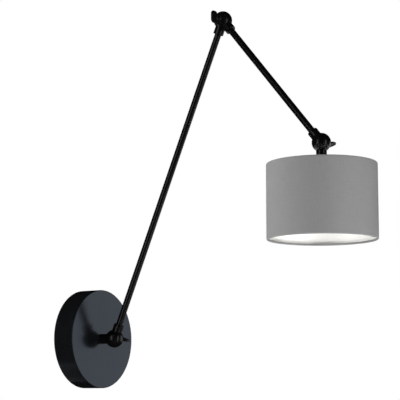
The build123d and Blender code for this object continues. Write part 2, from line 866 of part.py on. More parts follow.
# name, pivot, fixed collar's direction, moving collar's direction, knob's side and the paddle's roll
knuckles = [
    ("base", base_pivot, to_wall, arm_1_dir, 1, base_paddle_roll),
    ("elbow", elbow_pivot, -arm_1_dir, arm_2_dir, -1, elbow_paddle_roll),
    ("head", head_pivot, -arm_2_dir, down, 1, head_paddle_roll),
]
for name, pivot, fixed_dir, moving_dir, knob_side, roll in knuckles:
    write(make_knuckle_half(pivot, -1, fixed_dir, knob_side < 0), f"{name}_fixed_half")
    write(make_knuckle_half(pivot, 1, moving_dir, knob_side > 0), f"{name}_moving_half")
    friction_washer = make_ring(pivot, 1, -boss_face, friction_washer_dia, friction_washer_thickness)
    write(friction_washer, f"{name}_friction_washer")
    spring_washer = make_ring(pivot, knob_side, knob_flat, spring_washer_dia, spring_washer_thickness)
    write(spring_washer, f"{name}_spring_washer")
    write(make_thumb_screw(pivot, knob_side, roll), f"{name}_thumb_screw")

write(make_arm_tube(base_pivot, elbow_pivot), "arm_1_tube")
write(make_arm_flex(base_pivot, elbow_pivot), "arm_1_flex")
write(make_arm_tube(elbow_pivot, head_pivot), "arm_2_tube")
write(make_arm_flex(elbow_pivot, head_pivot), "arm_2_flex")

write(make_holder_nipple(), "holder_nipple")
write(make_holder_cap(), "holder_cap")
write(make_holder_skirt(), "holder_skirt")
write(make_holder_insulator(), "holder_insulator")
write(make_holder_screws(), "holder_screws")
write(make_screw_shell(), "screw_shell")
write(make_centre_contact(), "centre_contact")

write(make_shade_fabric(), "shade_fabric")
write(make_shade_lining(), "shade_lining")
write(make_shade_carrier(), "shade_carrier")
write(make_shade_bottom_ring(), "shade_bottom_ring")
write(make_ring_nut(), "ring_nut")

for name, pivot in (("base", base_pivot), ("elbow", elbow_pivot), ("head", head_pivot)):
    print(f"{name} pivot: {pivot.X:.3f} {pivot.Y:.3f} {pivot.Z:.3f}")
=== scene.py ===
"""Looks of an articulating wall lamp: its finishes, its fine pieces and a plain studio.

Everything is in metres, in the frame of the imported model: the wall is the plane y = 0, the lamp
stands out towards -Y and +Z is up. Sizes that only this script needs are given in millimetres.
"""

import logging
import math
from dataclasses import dataclass, field
from enum import Enum
from typing import Any, Iterable, Sequence

import bmesh
import bpy
from mathutils import Matrix, Vector, noise


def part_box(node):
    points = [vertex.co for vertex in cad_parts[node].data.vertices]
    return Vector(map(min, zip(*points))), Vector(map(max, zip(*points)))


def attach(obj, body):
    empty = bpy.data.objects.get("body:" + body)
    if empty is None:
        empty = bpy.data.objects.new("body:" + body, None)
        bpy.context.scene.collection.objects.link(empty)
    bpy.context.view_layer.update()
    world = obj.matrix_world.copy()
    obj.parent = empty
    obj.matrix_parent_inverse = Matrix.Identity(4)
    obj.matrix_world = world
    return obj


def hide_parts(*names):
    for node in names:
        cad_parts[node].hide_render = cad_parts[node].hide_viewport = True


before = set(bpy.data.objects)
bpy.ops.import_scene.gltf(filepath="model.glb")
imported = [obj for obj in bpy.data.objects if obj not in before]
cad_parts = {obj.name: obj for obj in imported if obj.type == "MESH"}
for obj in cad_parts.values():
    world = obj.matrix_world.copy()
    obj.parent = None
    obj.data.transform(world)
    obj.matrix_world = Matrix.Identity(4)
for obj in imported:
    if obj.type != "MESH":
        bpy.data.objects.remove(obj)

MM = 0.001
FULL_TURN = 2 * math.pi
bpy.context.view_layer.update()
LOG = logging.getLogger("wall_lamp")

Point = tuple[float, float]
Node = bpy.types.Node
Tree = bpy.types.NodeTree
Socket = bpy.types.NodeSocket


class Body(Enum):
    """The lamp's moving bodies that the new pieces ride on."""

    WALL_UNIT = "wall_unit"
    LAMP_HEAD = "lamp_head"


class Slot(Enum):
    """The material slots that the finishes belong to."""

    SATIN_BLACK = "satin_black"
    ZINC_STEEL = "zinc_steel"
    BRASS = "brass"
    NICKEL_BRASS = "nickel_brass"
    BLOCK_PLASTIC = "block_plastic"
    BLACK_PLASTIC = "black_plastic"
    PORCELAIN = "porcelain"
    GREY_FABRIC = "grey_fabric"
    WHITE_LINING = "white_lining"
    WHITE_WIRE = "white_wire"
    FLEX_SHEATH = "flex_sheath"
    LEAD_INSULATION = "lead_insulation"


class Lights(Enum):
    """What a studio lamp does: light matt surfaces, or lie mirrored in gloss."""

    MATT = "matt"
    GLOSS = "gloss"


# ---------------------------------------------------------------- finishes


def linear(hex_colour: str) -> tuple[float, float, float, float]:
    """Turn an sRGB hex value to a linear colour with full alpha.

    Args:
        hex_colour: Six hex digits after a hash.

    Returns:
        Red, green, blue and alpha, each from 0 to 1.
    """
    parts = [int(hex_colour[i : i + 2], 16) / 255 for i in (1, 3, 5)]
    curved = [p / 12.92 if p <= 0.04045 else ((p + 0.055) / 1.055) ** 2.4 for p in parts]
    return (*curved, 1.0)


def add_node(tree: Tree, kind: str, settings: dict[Any, Any] | None = None, **links: Any) -> Node:
    """Add a node to a tree, set it up and link its inputs.

    Args:
        tree: The node tree.
        kind: The node's type name.
        settings: Values for properties, or for inputs by name or by number.
        links: Pairs of sockets under the key "into": (input name or number, output socket).

    Returns:
        The new node.
    """
    node = tree.nodes.new(kind)
    for key, value in (settings or {}).items():
        if isinstance(key, int) or key in node.inputs:
            node.inputs[key].default_value = value
        else:
            setattr(node, key, value)
    for key, source in links.get("into", ()):
        tree.links.new(source, node.inputs[key])
    return node


@dataclass(frozen=True)
class Finish:
    """A surface finish with a fine grain, faint mottling and uneven gloss.

    Sizes are in millimetres. The mottling is the share by which patches differ in lightness.
    """

    name: str
    slot: Slot
    colour: str
    roughness: float
    metallic: float = 0.0
    specular: float = 0.5
    specular_tint: str = "#ffffff"
    coat: float = 0.0
    grain_mm: float = 0.8
    grain_depth_mm: float = 0.01
    mottling: float = 0.1
    mottling_mm: float = 14.0
    gloss_spread: float = 0.06
    stretch: tuple[float, float, float] = (1.0, 1.0, 1.0)
    lean: float = 0.0

    def material(self) -> bpy.types.Material:
        """Make the material, or return it if it is there already."""
        made = bpy.data.materials.get(self.name)
        if made:
            return made
        made = bpy.data.materials.new(self.name)
        made.use_nodes = True
        tree = made.node_tree
        shader = tree.nodes["Principled BSDF"]
        shader.inputs["Base Color"].default_value = linear(self.colour)
        shader.inputs["Roughness"].default_value = self.roughness
        shader.inputs["Metallic"].default_value = self.metallic
        shader.inputs["Specular IOR Level"].default_value = self.specular
        shader.inputs["Specular Tint"].default_value = linear(self.specular_tint)
        shader.inputs["Coat Weight"].default_value = self.coat
        self.dress(tree, shader)
        return made

    def place(self, tree: Tree) -> Socket:
        """Object coordinates, turned so that Z follows a piece that leans outwards from the wall."""
        raw = add_node(tree, "ShaderNodeTexCoord").outputs["Object"]
        settings = {"vector_type": "POINT", "Rotation": (math.radians(-self.lean), 0, 0)}
        return add_node(tree, "ShaderNodeMapping", settings, into=[("Vector", raw)]).outputs[0]

    def noise_at(self, tree: Tree, place: Socket, size_mm: float, detail: float = 3.0) -> Socket:
        """Noise whose patches are about so many millimetres wide, longer where the finish is drawn out."""
        squeeze = add_node(tree, "ShaderNodeMapping", {"Scale": self.stretch}, into=[("Vector", place)])
        settings = {"Scale": 1 / (size_mm * MM), "Detail": detail}
        return add_node(tree, "ShaderNodeTexNoise", settings, into=[("Vector", squeeze.outputs[0])]).outputs["Fac"]

    def mottle(self, tree: Tree, shader: Node, patches: Socket, other: str | None = None) -> None:
        """Let the colour wander between two shades with the patches of a pattern."""
        base = linear(self.colour)
        deep = linear(other) if other else tuple(c * (1 - self.mottling) for c in base[:3]) + (1.0,)
        pale = tuple(min(1.0, c * (1 + self.mottling / 2)) for c in base[:3]) + (1.0,)
        ramp = add_node(tree, "ShaderNodeValToRGB", into=[("Fac", patches)])
        ramp.color_ramp.elements[0].position = 0.32
        ramp.color_ramp.elements[1].position = 0.68
        ramp.color_ramp.elements[0].color = deep
        ramp.color_ramp.elements[1].color = pale
        tree.links.new(ramp.outputs["Color"], shader.inputs["Base Color"])

    def vary_gloss(self, tree: Tree, shader: Node, patches: Socket) -> None:
        """Let the roughness wander about its value with the patches of a pattern."""
        settings = {
            "To Min": max(0.03, self.roughness - self.gloss_spread),
            "To Max": min(1.0, self.roughness + self.gloss_spread),
        }
        spread = add_node(tree, "ShaderNodeMapRange", settings, into=[("Value", patches)])
        tree.links.new(spread.outputs["Result"], shader.inputs["Roughness"])

    def bump(self, tree: Tree, shader: Node, height: Socket, depth_mm: float, before: Socket | None = None) -> Socket:
        """Raise the surface by a pattern, so many millimetres deep, on top of an earlier bump."""
        into = [("Height", height)] + ([("Normal", before)] if before else [])
        bump = add_node(tree, "ShaderNodeBump", {"Distance": depth_mm * MM, "Strength": 1.0}, into=into)
        tree.links.new(bump.outputs["Normal"], shader.inputs["Normal"])
        return bump.outputs["Normal"]

    def dress(self, tree: Tree, shader: Node) -> None:
        """Add the grain, the mottling and the uneven gloss."""
        place = self.place(tree)
        self.mottle(tree, shader, self.noise_at(tree, place, self.mottling_mm))
        self.vary_gloss(tree, shader, self.noise_at(tree, place, self.mottling_mm / 3))
        self.bump(tree, shader, self.noise_at(tree, place, self.grain_mm), self.grain_depth_mm)


@dataclass(frozen=True)
class PowderCoat(Finish):
    """Baked powder paint: a soft orange peel under a fine, dry texture."""

    peel_mm: float = 2.6
    peel_depth_mm: float = 0.012

    def dress(self, tree: Tree, shader: Node) -> None:
        """Add the orange peel over the usual grain."""
        place = self.place(tree)
        self.mottle(tree, shader, self.noise_at(tree, place, self.mottling_mm))
        self.vary_gloss(tree, shader, self.noise_at(tree, place, self.mottling_mm / 2))
        fine = self.bump(tree, shader, self.noise_at(tree, place, self.grain_mm), self.grain_depth_mm)
        settings = {"feature": "SMOOTH_F1", "Scale": 1 / (self.peel_mm * MM), "Smoothness": 0.9}
        cells = add_node(tree, "ShaderNodeTexVoronoi", settings, into=[("Vector", place)])
        self.bump(tree, shader, cells.outputs["Distance"], self.peel_depth_mm, fine)


@dataclass(frozen=True)
class HandledPaint(Finish):
    """Paint that fingers have rubbed thin along the edges, so that the metal shows through."""

    metal: str = "#6b5a4a"
    edge_mm: float = 0.9
    wear: float = 0.7

    def dress(self, tree: Tree, shader: Node) -> None:
        """Mix the bare metal's colour in along the edges, broken up by noise."""
        place = self.place(tree)
        patches = self.noise_at(tree, place, self.mottling_mm)
        self.vary_gloss(tree, shader, patches)
        self.bump(tree, shader, self.noise_at(tree, place, self.grain_mm), self.grain_depth_mm)
        rounded = add_node(tree, "ShaderNodeBevel", {"Radius": self.edge_mm * MM, "samples": 6})
        true_face = add_node(tree, "ShaderNodeNewGeometry")
        into = [(0, rounded.outputs["Normal"]), (1, true_face.outputs["Normal"])]
        facing = add_node(tree, "ShaderNodeVectorMath", {"operation": "DOT_PRODUCT"}, into=into)
        settings = {"From Min": 0.99, "From Max": 0.86, "To Max": self.wear}
        edge = add_node(tree, "ShaderNodeMapRange", settings, into=[("Value", facing.outputs["Value"])])
        into = [(0, edge.outputs["Result"]), (1, patches)]
        rubbed = add_node(tree, "ShaderNodeMath", {"operation": "MULTIPLY"}, into=into)
        settings = {"data_type": "RGBA", 6: linear(self.colour), 7: linear(self.metal)}
        mixed = add_node(tree, "ShaderNodeMix", settings, into=[(0, rubbed.outputs[0])])
        tree.links.new(mixed.outputs[2], shader.inputs["Base Color"])


@dataclass(frozen=True)
class PlatedMetal(Finish):
    """Bright plate that wanders between two hues, with fine rolling lines."""

    other: str = "#a9a593"

    def dress(self, tree: Tree, shader: Node) -> None:
        """Add the two hues and the rolling lines."""
        place = self.place(tree)
        self.mottle(tree, shader, self.noise_at(tree, place, self.mottling_mm, 1.5), self.other)
        lines = self.noise_at(tree, place, self.grain_mm)
        self.vary_gloss(tree, shader, lines)
        self.bump(tree, shader, lines, self.grain_depth_mm)


@dataclass(frozen=True)
class WovenCloth(Finish):
    """Plain weave that follows the piece's own UV map, which is in metres along and across the cloth."""

    thread_mm: float = 0.7
    thread_depth_mm: float = 0.1
    slub_mm: float = 16.0
    slub: float = 0.05
    sheen: float = 0.02

    def dress(self, tree: Tree, shader: Node) -> None:
        """Weave warp over weft, with thicker and paler threads here and there."""
        shader.inputs["Sheen Weight"].default_value = self.sheen
        shader.inputs["Sheen Roughness"].default_value = 0.5
        flat = add_node(tree, "ShaderNodeTexCoord").outputs["UV"]
        thread = self.thread_mm * MM
        settings = {"wave_profile": "SIN", "Scale": FULL_TURN / (20 * thread), "Phase Offset": -math.pi / 2}
        into = [("Vector", flat)]
        warp = add_node(tree, "ShaderNodeTexWave", {**settings, "bands_direction": "X"}, into=into)
        weft = add_node(tree, "ShaderNodeTexWave", {**settings, "bands_direction": "Y"}, into=into)
        over = add_node(tree, "ShaderNodeTexChecker", {"Scale": 1 / thread}, into=into)
        into = [(0, over.outputs["Fac"]), (2, warp.outputs["Fac"]), (3, weft.outputs["Fac"])]
        woven = add_node(tree, "ShaderNodeMix", {"data_type": "FLOAT"}, into=into)
        across = (1 / (self.slub_mm * MM), 1 / (1.4 * thread), 1.0)
        along = (1 / (1.4 * thread), 1 / (self.slub_mm * MM), 1.0)
        slubs = []
        for scale in (across, along):
            run = add_node(tree, "ShaderNodeMapping", {"Scale": scale}, into=[("Vector", flat)])
            settings = {"Scale": 1.0, "Detail": 2.0}
            slubs.append(add_node(tree, "ShaderNodeTexNoise", settings, into=[("Vector", run.outputs[0])]))
        into = [(i, slub.outputs["Fac"]) for i, slub in enumerate(slubs)]
        both = add_node(tree, "ShaderNodeMath", {"operation": "ADD"}, into=into)
        base = linear(self.colour)[0]
        settings = {
            "From Min": 0.7,
            "From Max": 1.3,
            "To Min": base * (1 - self.slub),
            "To Max": base * (1 + self.slub),
        }
        shade = add_node(tree, "ShaderNodeMapRange", settings, into=[("Value", both.outputs[0])])
        settings = {"operation": "MULTIPLY_ADD", 1: 0.08, 2: 0.96}
        gaps = add_node(tree, "ShaderNodeMath", settings, into=[(0, woven.outputs[0])])
        into = [(0, shade.outputs["Result"]), (1, gaps.outputs[0])]
        value = add_node(tree, "ShaderNodeMath", {"operation": "MULTIPLY"}, into=into)
        grey = add_node(tree, "ShaderNodeCombineColor", into=[(i, value.outputs[0]) for i in range(3)])
        tree.links.new(grey.outputs[0], shader.inputs["Base Color"])
        self.bump(tree, shader, woven.outputs[0], self.thread_depth_mm)


@dataclass(frozen=True)
class StripedInsulation(Finish):
    """Smooth insulation, with a second colour in two stripes along the core where there is one."""

    stripe: str | None = None
    stripe_mm: float = 1.4

    def dress(self, tree: Tree, shader: Node) -> None:
        """Add the stripes over the usual grain."""
        super().dress(tree, shader)
        if not self.stripe:
            return
        into = [("Vector", add_node(tree, "ShaderNodeTexCoord").outputs["Object"])]
        settings = {"bands_direction": "X", "Scale": FULL_TURN / (20 * self.stripe_mm * MM), "Phase Offset": 0.8}
        bands = add_node(tree, "ShaderNodeTexWave", settings, into=into)
        ramp = add_node(tree, "ShaderNodeValToRGB", into=[("Fac", bands.outputs["Fac"])])
        ramp.color_ramp.interpolation = "CONSTANT"
        ramp.color_ramp.elements[0].color = linear(self.colour)
        ramp.color_ramp.elements[1].position = 0.5
        ramp.color_ramp.elements[1].color = linear(self.stripe)
        tree.links.new(ramp.outputs["Color"], shader.inputs["Base Color"])


# Satin powder coat on pressed steel: black with a soft orange peel. Its gloss is tinted cool blue, a painted
# reflection colour that stands for a bluish light on the canopy's front.
CANOPY_COAT = PowderCoat(
    "satin_black_powder_coat", Slot.SATIN_BLACK, "#0a0b0c", 0.2, specular=0.5, specular_tint="#c3dcff",
    grain_mm=0.5, grain_depth_mm=0.0012, mottling=0.12, mottling_mm=30.0, gloss_spread=0.02,
    peel_depth_mm=0.004,
)
# The same paint on cast and turned knuckles, where the casting's skin leaves a finer, tighter grain.
KNUCKLE_COAT = PowderCoat(
    "satin_black_cast_zinc", Slot.SATIN_BLACK, "#070707", 0.28, specular=0.4,
    grain_mm=0.35, grain_depth_mm=0.0006, mottling=0.2, mottling_mm=6.0, gloss_spread=0.02, peel_mm=1.8,
    peel_depth_mm=0.0012,
)
# Satin paint on drawn steel tube: smooth, with faint drawing lines along the tube.
TUBE_COAT_1 = Finish(
    "satin_black_drawn_tube_1", Slot.SATIN_BLACK, "#070707", 0.25, specular=0.4, grain_mm=0.5,
    grain_depth_mm=0.0005, mottling=0.1, mottling_mm=9.0, gloss_spread=0.015, stretch=(1.0, 1.0, 0.08), lean=22.9,
)
TUBE_COAT_2 = Finish(
    "satin_black_drawn_tube_2", Slot.SATIN_BLACK, "#070707", 0.25, specular=0.4, grain_mm=0.5,
    grain_depth_mm=0.0005, mottling=0.1, mottling_mm=9.0, gloss_spread=0.015, stretch=(1.0, 1.0, 0.08), lean=-39.1,
)
# Satin paint on the thumb screws, rubbed thin at the edges by fingers.
THUMB_COAT = HandledPaint(
    "satin_black_handled_paint", Slot.SATIN_BLACK, "#080707", 0.33, specular=0.4, grain_mm=0.4,
    grain_depth_mm=0.002, mottling_mm=3.0, gloss_spread=0.08,
)
# Bright zinc plate on pressed steel: cool grey with a hint of yellow, and fine rolling lines.
ZINC_PLATE = PlatedMetal(
    "bright_zinc_plate", Slot.ZINC_STEEL, "#b9bcc0", 0.3, metallic=1.0, grain_mm=0.6, grain_depth_mm=0.004,
    mottling_mm=9.0, gloss_spread=0.1, stretch=(1.0, 1.0, 0.1), other="#b3ac94",
)
# Turned brass, left bare: warm, with fine tool marks.
TURNED_BRASS = PlatedMetal(
    "turned_brass", Slot.BRASS, "#c79a4b", 0.26, metallic=1.0, grain_mm=0.3, grain_depth_mm=0.004,
    mottling_mm=4.0, gloss_spread=0.08, stretch=(1.0, 0.1, 1.0), other="#a97c39",
)
# Nickel plate on brass: a warm silver.
NICKEL_PLATE = PlatedMetal(
    "nickel_plated_brass", Slot.NICKEL_BRASS, "#c9c2b4", 0.22, metallic=1.0, grain_mm=0.3,
    grain_depth_mm=0.003, mottling_mm=6.0, gloss_spread=0.07, other="#b3a88f",
)
# Tinned copper strands, dull and a little pink.
COPPER = PlatedMetal(
    "bare_copper_strand", Slot.BRASS, "#c98262", 0.32, metallic=1.0, grain_mm=0.2, grain_depth_mm=0.01,
    mottling_mm=2.0, gloss_spread=0.08, other="#a8603f",
)
# Moulded natural nylon: milky, with the fine texture of a spark-eroded mould.
NYLON = Finish(
    "moulded_natural_nylon", Slot.BLOCK_PLASTIC, "#e3dfd2", 0.42, grain_mm=0.25, grain_depth_mm=0.008,
    mottling=0.05, mottling_mm=5.0,
)
# Moulded black thermoplastic: a deeper gloss than the paint, finely textured.
BLACK_PLASTIC = Finish(
    "moulded_black_thermoplastic", Slot.BLACK_PLASTIC, "#101010", 0.38, grain_mm=0.3, grain_depth_mm=0.012,
    mottling=0.15, mottling_mm=4.0, gloss_spread=0.07,
)
# Glazed porcelain: warm white under a clear glaze that lies in slow waves.
PORCELAIN = Finish(
    "white_glazed_porcelain", Slot.PORCELAIN, "#e9e5da", 0.12, coat=0.6, grain_mm=2.5, grain_depth_mm=0.02,
    mottling=0.05, mottling_mm=3.0, gloss_spread=0.04,
)
# Plain-woven cotton laminated to the drum: matt grey with uneven threads. The real threads lie
# 0.35 mm apart, too fine for the picture, so they are drawn twice as coarse.
SHADE_COTTON = WovenCloth("grey_woven_cotton", Slot.GREY_FABRIC, "#7c7c7c", 0.78, specular=0.25)
# Calendered styrene sheet: bright white and almost smooth, with faint roller lines.
STYRENE = Finish(
    "white_styrene_sheet", Slot.WHITE_LINING, "#fbfaf7", 0.4, grain_mm=1.2, grain_depth_mm=0.006,
    mottling=0.015, mottling_mm=20.0, stretch=(1.0, 1.0, 0.15),
)
# White epoxy on steel wire: a soft gloss with a slight ripple.
EPOXY_WIRE = Finish(
    "white_epoxy_on_wire", Slot.WHITE_WIRE, "#e9e9e6", 0.3, grain_mm=1.5, grain_depth_mm=0.015,
    mottling=0.03, mottling_mm=6.0,
)
# Soft black cable sheath: dull, with talc in its fine grain.
SHEATH = Finish(
    "black_cable_sheath", Slot.FLEX_SHEATH, "#161616", 0.55, grain_mm=0.3, grain_depth_mm=0.01, mottling=0.3,
    mottling_mm=5.0,
)
# Core insulation in the usual three colours: smooth and slightly glossy.
BROWN_CORE = StripedInsulation(
    "brown_core_insulation", Slot.LEAD_INSULATION, "#5c3317", 0.32, grain_mm=0.8, mottling_mm=4.0,
)
BLUE_CORE = StripedInsulation(
    "blue_core_insulation", Slot.LEAD_INSULATION, "#1f5fa8", 0.32, grain_mm=0.8, mottling_mm=4.0,
)
EARTH_CORE = StripedInsulation(
    "green_and_yellow_core_insulation", Slot.LEAD_INSULATION, "#2d7d3a", 0.32, grain_mm=0.8,
    mottling_mm=4.0, stripe="#e3c92b",
)


# ---------------------------------------------------------------- shaping


def turned(outline: Sequence[Point], steps: int, closed: bool = True, turn: float = FULL_TURN) -> bmesh.types.BMesh:
    """Spin an outline about the Z axis.

    Args:
        outline: Points as (radius, height), in metres.
        steps: How many faces go round.
        closed: Whether the last point joins the first.
        turn: How far the outline is turned, in radians.

    Returns:
        The turned shape.
    """
    bm = bmesh.new()
    ring = [bm.verts.new((radius, 0, height)) for radius, height in outline]
    pairs = list(zip(ring, ring[1:])) + ([(ring[-1], ring[0])] if closed else [])
    edges = [bm.edges.new(pair) for pair in pairs]
    bmesh.ops.spin(
        bm, geom=ring + edges, cent=(0, 0, 0), axis=(0, 0, 1), dvec=(0, 0, 0), angle=turn, steps=steps,
        use_merge=math.isclose(turn, FULL_TURN), use_duplicate=False,
    )
    return bm


def threaded(crest: float, root: float, pitch: float, length: float, steps: int = 32) -> bmesh.types.BMesh:
    """A rounded screw thread about the Z axis from height 0 up, open at both ends.

    Args:
        crest: Outer radius.
        root: Inner radius.
        pitch: Height of one turn.
        length: Height of the finished thread.
        steps: Faces in one turn.

    Returns:
        The thread's surface, cut square at both ends.
    """
    bm = bmesh.new()
    shares = ((root, 0.0), ((root + crest) / 2, 0.2), (crest, 0.4), (crest, 0.6), ((root + crest) / 2, 0.8), (root, 1.0))
    line = [bm.verts.new((radius, 0, share * pitch - 2 * pitch)) for radius, share in shares]
    edges = [bm.edges.new(pair) for pair in zip(line, line[1:])]
    turns = math.ceil(length / pitch) + 3
    bmesh.ops.spin(
        bm, geom=line + edges, cent=(0, 0, 0), axis=(0, 0, 1), dvec=(0, 0, pitch / steps),
        angle=turns * FULL_TURN, steps=turns * steps, use_merge=False, use_duplicate=False,
    )
    bmesh.ops.remove_doubles(bm, verts=bm.verts, dist=pitch / 500)
    for height, up in ((0.0, -1), (length, 1)):
        geom = bm.verts[:] + bm.edges[:] + bm.faces[:]
        bmesh.ops.bisect_plane(
            bm, geom=geom, dist=pitch / 1000, plane_co=(0, 0, height), plane_no=(0, 0, up), clear_outer=True
        )
    return bm


def open_rims(bm: bmesh.types.BMesh) -> list[bmesh.types.BMEdge]:
    """The edges that have one face only."""
    return [edge for edge in bm.edges if edge.is_boundary]


def add_bore(bm: bmesh.types.BMesh, radius: float, length: float, steps: int) -> None:
    """Line an open shape about the Z axis with a bore, and close both ends between the two."""
    inside = bmesh.new()
    bmesh.ops.create_cone(
        inside, cap_ends=False, segments=steps, radius1=radius, radius2=radius, depth=length,
        matrix=Matrix.Translation((0, 0, length / 2)),
    )
    bmesh.ops.reverse_faces(inside, faces=inside.faces)
    spare = bpy.data.meshes.new("bore")
    inside.to_mesh(spare)
    inside.free()
    bm.from_mesh(spare)
    bpy.data.meshes.remove(spare)
    for height in (0.0, length):
        rims = [e for e in open_rims(bm) if all(abs(v.co.z - height) < 0.02 * MM for v in e.verts)]
        bmesh.ops.bridge_loops(bm, edges=rims)


def tube_along(route: Sequence[Vector], radius: float, sides: int = 6) -> bpy.types.Mesh:
    """A round tube with closed ends along a smooth line through the region of some points.

    Args:
        route: Control points, in metres.
        radius: The tube's radius.
        sides: Sides in a quarter of the tube's round.

    Returns:
        The tube's mesh.
    """
    line = bpy.data.curves.new("route", "CURVE")
    line.dimensions = "3D"
    line.bevel_depth = radius
    line.bevel_resolution = sides
    line.use_fill_caps = True
    line.resolution_u = 12
    spline = line.splines.new("NURBS")
    spline.points.add(len(route) - 1)
    for point, place in zip(spline.points, route):
        point.co = (*place, 1.0)
    spline.order_u = 3
    spline.use_endpoint_u = True
    holder = bpy.data.objects.new("route", line)
    bpy.context.scene.collection.objects.link(holder)
    mesh = bpy.data.meshes.new_from_object(holder)
    bpy.data.objects.remove(holder)
    bpy.data.curves.remove(line)
    return mesh


def from_mesh(mesh: bpy.types.Mesh) -> bmesh.types.BMesh:
    """A bmesh with a mesh's geometry; the mesh itself goes."""
    bm = bmesh.new()
    bm.from_mesh(mesh)
    bpy.data.meshes.remove(mesh)
    return bm


def middle(node: str) -> Vector:
    """The middle of a CAD node's box."""
    low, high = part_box(node)
    return (low + high) / 2


# ---------------------------------------------------------------- sub-assemblies


@dataclass
class SubAssembly:
    """Pieces that ride on one body and belong together."""

    body: Body = Body.WALL_UNIT
    finishes: dict[str, Finish] = field(default_factory=dict)
    soft_angle: float = 35.0

    def build(self) -> None:
        """Dress the CAD nodes, make the new pieces and report them."""
        for node, finish in self.finishes.items():
            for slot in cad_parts[node].material_slots:
                slot.material = finish.material()
            LOG.info("%s: %s", node, finish.name)
        self.make_pieces()

    def make_pieces(self) -> None:
        """Make the new pieces, if there are any."""

    def finish_piece(
        self, name: str, bm: bmesh.types.BMesh, finish: Finish, instead_of: Iterable[str] = ()
    ) -> bpy.types.Object:
        """Turn a bmesh into a smooth piece that rides on this sub-assembly's body.

        Args:
            name: The piece's name.
            bm: The shape, at its place in the frame. It is freed.
            finish: The finish of the whole piece.
            instead_of: CAD nodes that the piece stands for.

        Returns:
            The new object.
        """
        bmesh.ops.remove_doubles(bm, verts=bm.verts, dist=0.001 * MM)
        bmesh.ops.recalc_face_normals(bm, faces=bm.faces)
        mesh = bpy.data.meshes.new(name)
        bm.to_mesh(mesh)
        bm.free()
        mesh.shade_smooth()
        mesh.set_sharp_from_angle(angle=math.radians(self.soft_angle))
        mesh.materials.append(finish.material())
        piece = bpy.data.objects.new(name, mesh)
        bpy.context.scene.collection.objects.link(piece)
        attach(piece, self.body.value)
        nodes = list(instead_of)
        if nodes:
            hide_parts(*nodes)
        LOG.info("%s: %s, %d faces", name, finish.name, len(mesh.polygons))
        return piece


